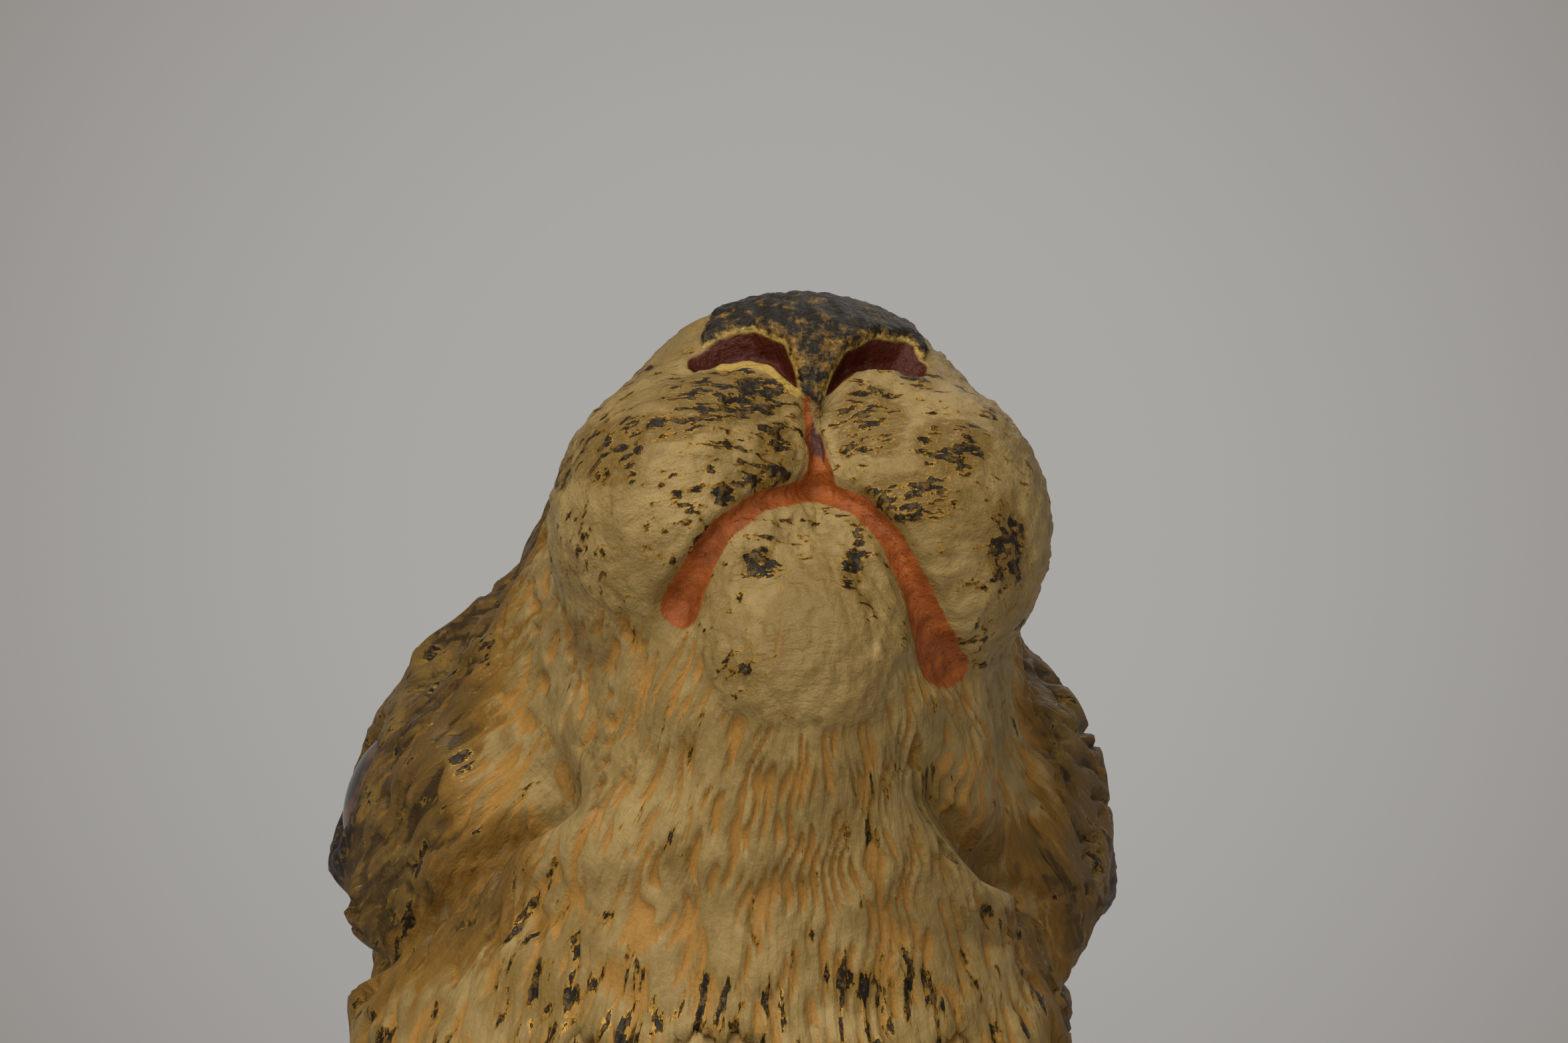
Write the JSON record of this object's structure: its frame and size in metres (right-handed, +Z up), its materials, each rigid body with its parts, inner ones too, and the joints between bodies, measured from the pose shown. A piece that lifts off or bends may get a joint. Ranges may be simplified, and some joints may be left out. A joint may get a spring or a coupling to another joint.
{
  "type": "bronze rabbit figurine",
  "caption": "Seated rabbit ornament in cold-painted bronze with raised head, split lip and laid-back ears; a hollow casting that stands on its own feet.",
  "frame": {"origin": "middle of the figure's overall plan, on the level its soles rest on", "axes": "+Z up, -Y the way the rabbit faces, +X towards its left side"},
  "size_m": [0.081, 0.1352, 0.1389],
  "materials": {
    "cream_paint": "thin cold paint over chased bronze, satin",
    "brown_paint": "thin cold paint over chased bronze, satin",
    "bronze": "bare bronze, dulled",
    "dark_eye": "polished dark bead"
  },
  "bodies": {
    "root": {"head_casting": "cream_paint", "left_eye": "dark_eye", "right_eye": "dark_eye", "left_ear": "brown_paint", "right_ear": "brown_paint", "body_casting": "brown_paint", "left_foreleg": "cream_paint", "right_foreleg": "cream_paint", "left_hind_foot": "cream_paint", "right_hind_foot": "cream_paint", "tail": "cream_paint", "neck_pin_1": "bronze", "neck_pin_2": "bronze", "neck_pin_3": "bronze", "neck_pin_4": "bronze", "left_foreleg_screw": "bronze", "right_foreleg_screw": "bronze", "left_hind_foot_screw": "bronze", "right_hind_foot_screw": "bronze", "tail_nut": "bronze"}
  },
  "joints": []
}
